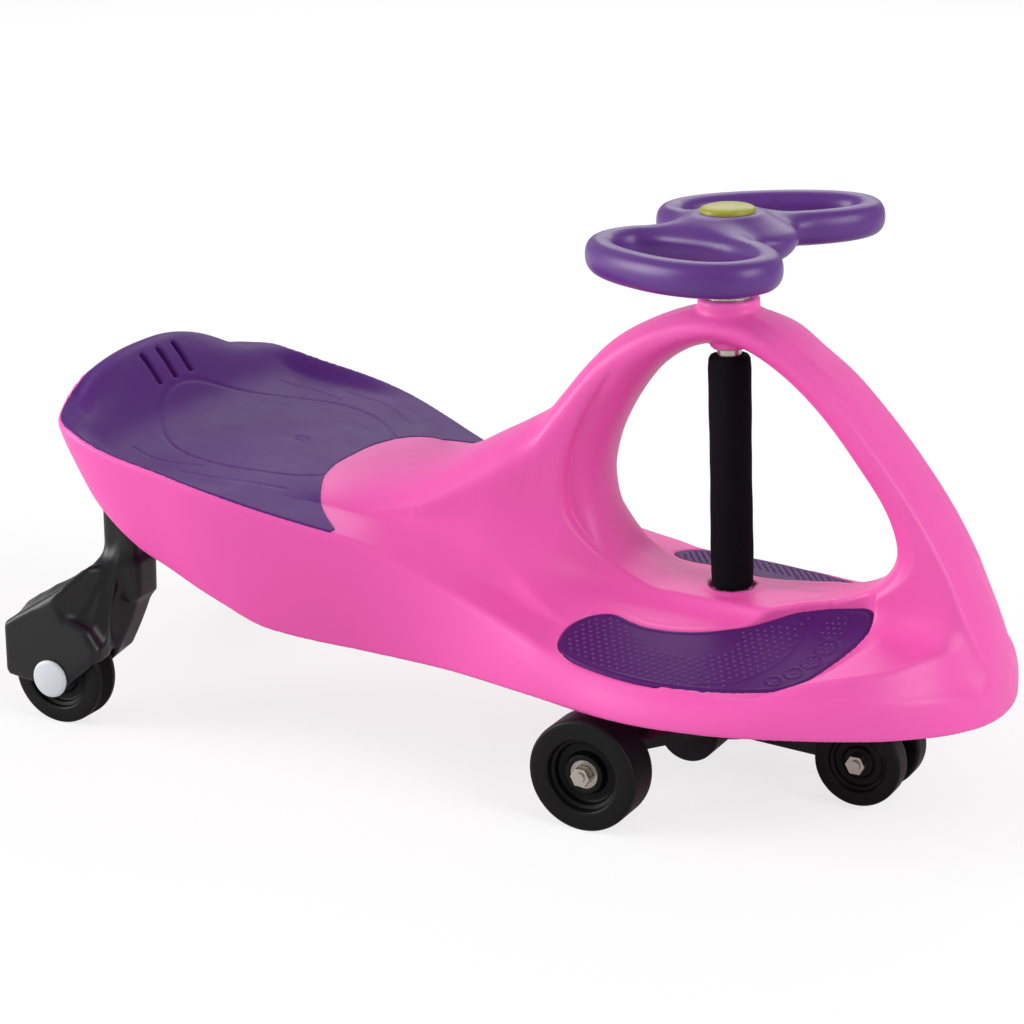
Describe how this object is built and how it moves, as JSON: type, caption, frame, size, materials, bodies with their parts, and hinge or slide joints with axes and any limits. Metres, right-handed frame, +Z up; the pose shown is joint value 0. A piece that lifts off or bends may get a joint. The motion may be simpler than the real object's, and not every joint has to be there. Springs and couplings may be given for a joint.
{
  "type": "wiggle car",
  "caption": "Ride-on wiggle car: pink hull with a front arch, purple dished seat, foot mats and a loop steering wheel on a caster bogie.",
  "frame": {"origin": "centre of the bounding box on the ground plane that the wheels stand on", "axes": "+X along the car towards its nose, +Y to the rider's left, +Z up from the ground"},
  "size_m": [0.7597, 0.337, 0.432],
  "materials": {
    "body_pink": "semi-gloss moulded plastic",
    "seat_purple": "satin moulded plastic",
    "wheel_purple": "satin moulded plastic",
    "cap_yellow": "gloss plastic",
    "foam_black": "closed-cell foam",
    "frame_black": "grained black plastic",
    "tyre_black": "solid rubber-like wheel",
    "cap_white": "white plastic",
    "bush_nylon": "natural nylon",
    "bright_steel": "zinc-plated steel"
  },
  "bodies": {
    "body": {"body_shell": "body_pink", "seat_pan": "seat_purple", "seat_screws": "bright_steel", "foot_mat_right": "seat_purple", "foot_mat_left": "seat_purple", "upper_bush": "bush_nylon", "lower_bush": "bush_nylon", "rear_arm_right": "frame_black", "rear_arm_left": "frame_black", "rear_arm_bolts": "bright_steel", "rear_axle_right": "bright_steel", "rear_axle_left": "bright_steel", "rear_hub_cap_right": "cap_white", "rear_hub_cap_left": "cap_white"},
    "steering": {"steering_wheel": "wheel_purple", "steering_cap": "cap_yellow", "wheel_bolt": "bright_steel", "column_plug": "bright_steel", "thrust_washer": "bright_steel", "lower_washer": "bright_steel", "steering_column": "bright_steel", "foam_sleeve": "foam_black", "front_bogie": "frame_black", "clamp_bolt": "bright_steel", "clamp_nut": "bright_steel", "main_axle": "bright_steel", "main_axle_nuts": "bright_steel", "main_spacers": "bright_steel", "safety_axle": "bright_steel", "safety_axle_nuts": "bright_steel", "safety_spacers": "bright_steel"},
    "main_wheel_right": {"main_wheel_right": "tyre_black", "main_bearings_right": "bright_steel"},
    "main_wheel_left": {"main_wheel_left": "tyre_black", "main_bearings_left": "bright_steel"},
    "safety_wheel_right": {"safety_wheel_right": "tyre_black"},
    "safety_wheel_left": {"safety_wheel_left": "tyre_black"},
    "rear_wheel_right": {"rear_wheel_right": "tyre_black", "rear_bearings_right": "bright_steel"},
    "rear_wheel_left": {"rear_wheel_left": "tyre_black", "rear_bearings_left": "bright_steel"}
  },
  "joints": [
    {"name": "steer", "type": "hinge", "parent": "body", "child": "steering", "pos_m": [0.16492, 0, 0.144], "axis": [-0.0384, 0, 0.9993], "continuous": true},
    {"name": "main_wheel_right_spin", "type": "hinge", "parent": "steering", "child": "main_wheel_right", "pos_m": [0.11684, -0.138, 0.042], "axis": [0, 1, 0], "continuous": true},
    {"name": "main_wheel_left_spin", "type": "hinge", "parent": "steering", "child": "main_wheel_left", "pos_m": [0.11684, 0.138, 0.042], "axis": [0, 1, 0], "continuous": true},
    {"name": "safety_wheel_right_spin", "type": "hinge", "parent": "steering", "child": "safety_wheel_right", "pos_m": [0.27784, -0.0203, 0.0365], "axis": [0, 1, 0], "continuous": true},
    {"name": "safety_wheel_left_spin", "type": "hinge", "parent": "steering", "child": "safety_wheel_left", "pos_m": [0.27784, 0.0203, 0.0365], "axis": [0, 1, 0], "continuous": true},
    {"name": "rear_wheel_right_spin", "type": "hinge", "parent": "body", "child": "rear_wheel_right", "pos_m": [-0.337, -0.144, 0.0395], "axis": [0, 1, 0], "continuous": true},
    {"name": "rear_wheel_left_spin", "type": "hinge", "parent": "body", "child": "rear_wheel_left", "pos_m": [-0.337, 0.144, 0.0395], "axis": [0, 1, 0], "continuous": true}
  ]
}
